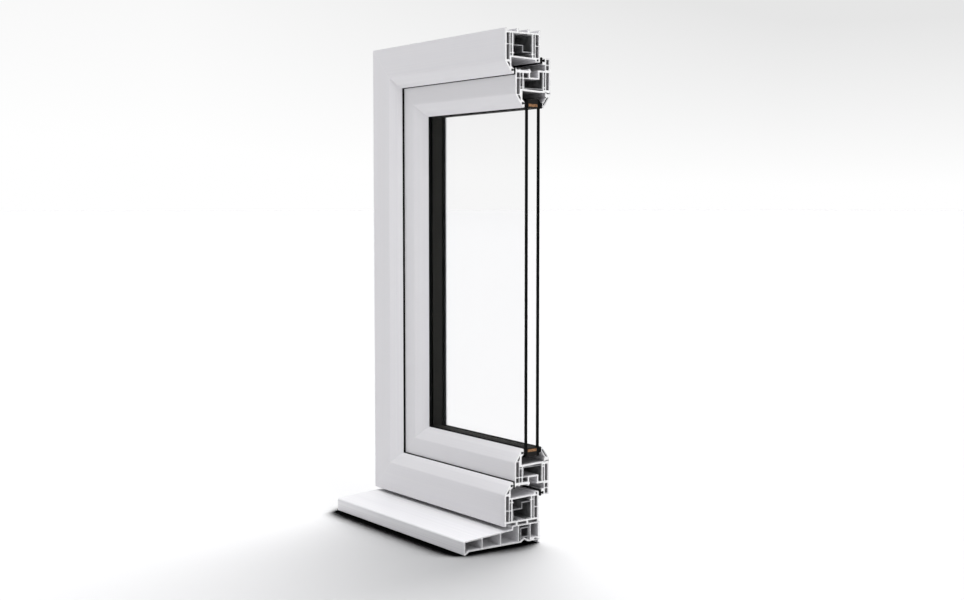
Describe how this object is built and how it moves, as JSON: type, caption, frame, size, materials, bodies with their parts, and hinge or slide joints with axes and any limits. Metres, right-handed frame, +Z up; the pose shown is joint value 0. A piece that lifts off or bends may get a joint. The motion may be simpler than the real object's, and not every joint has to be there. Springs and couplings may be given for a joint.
{
  "type": "cutaway pvc window sample",
  "caption": "End of a white PVC window with its cill, sawn open to show hollow chambers, steel, gaskets and double glazing",
  "frame": {"origin": "on the floor under the middle of the sample's outer box", "axes": "+Z up, +X along the head and base rail to the saw cut, +Y from outdoors to indoors"},
  "size_m": [0.4, 0.1712, 0.835],
  "materials": {
    "pvc": "satin white",
    "gasket": "matt black",
    "glass": "clear float",
    "spacer": "matt black",
    "sealant": "matt black",
    "desiccant": "granular tan",
    "steel": "galvanised"
  },
  "bodies": {
    "root": {"frame_head": "pvc", "frame_jamb": "pvc", "frame_base": "pvc", "sash_head": "pvc", "sash_jamb": "pvc", "sash_base": "pvc", "bead_head": "pvc", "bead_jamb": "pvc", "bead_base": "pvc", "weather_gasket_head": "gasket", "weather_gasket_jamb": "gasket", "weather_gasket_base": "gasket", "flange_gasket_head": "gasket", "flange_gasket_jamb": "gasket", "flange_gasket_base": "gasket", "glazing_gasket_head": "gasket", "glazing_gasket_jamb": "gasket", "glazing_gasket_base": "gasket", "bead_gasket_head": "gasket", "bead_gasket_jamb": "gasket", "bead_gasket_base": "gasket", "spacer_head": "spacer", "spacer_jamb": "spacer", "spacer_base": "spacer", "desiccant_head": "desiccant", "desiccant_jamb": "desiccant", "desiccant_base": "desiccant", "edge_seal_head": "sealant", "edge_seal_jamb": "sealant", "edge_seal_base": "sealant", "frame_steel_head": "steel", "frame_steel_jamb": "steel", "frame_steel_base": "steel", "sash_steel_head": "steel", "sash_steel_jamb": "steel", "sash_steel_base": "steel", "outer_pane": "glass", "inner_pane": "glass", "cill": "pvc", "cill_steel": "steel"}
  },
  "joints": []
}
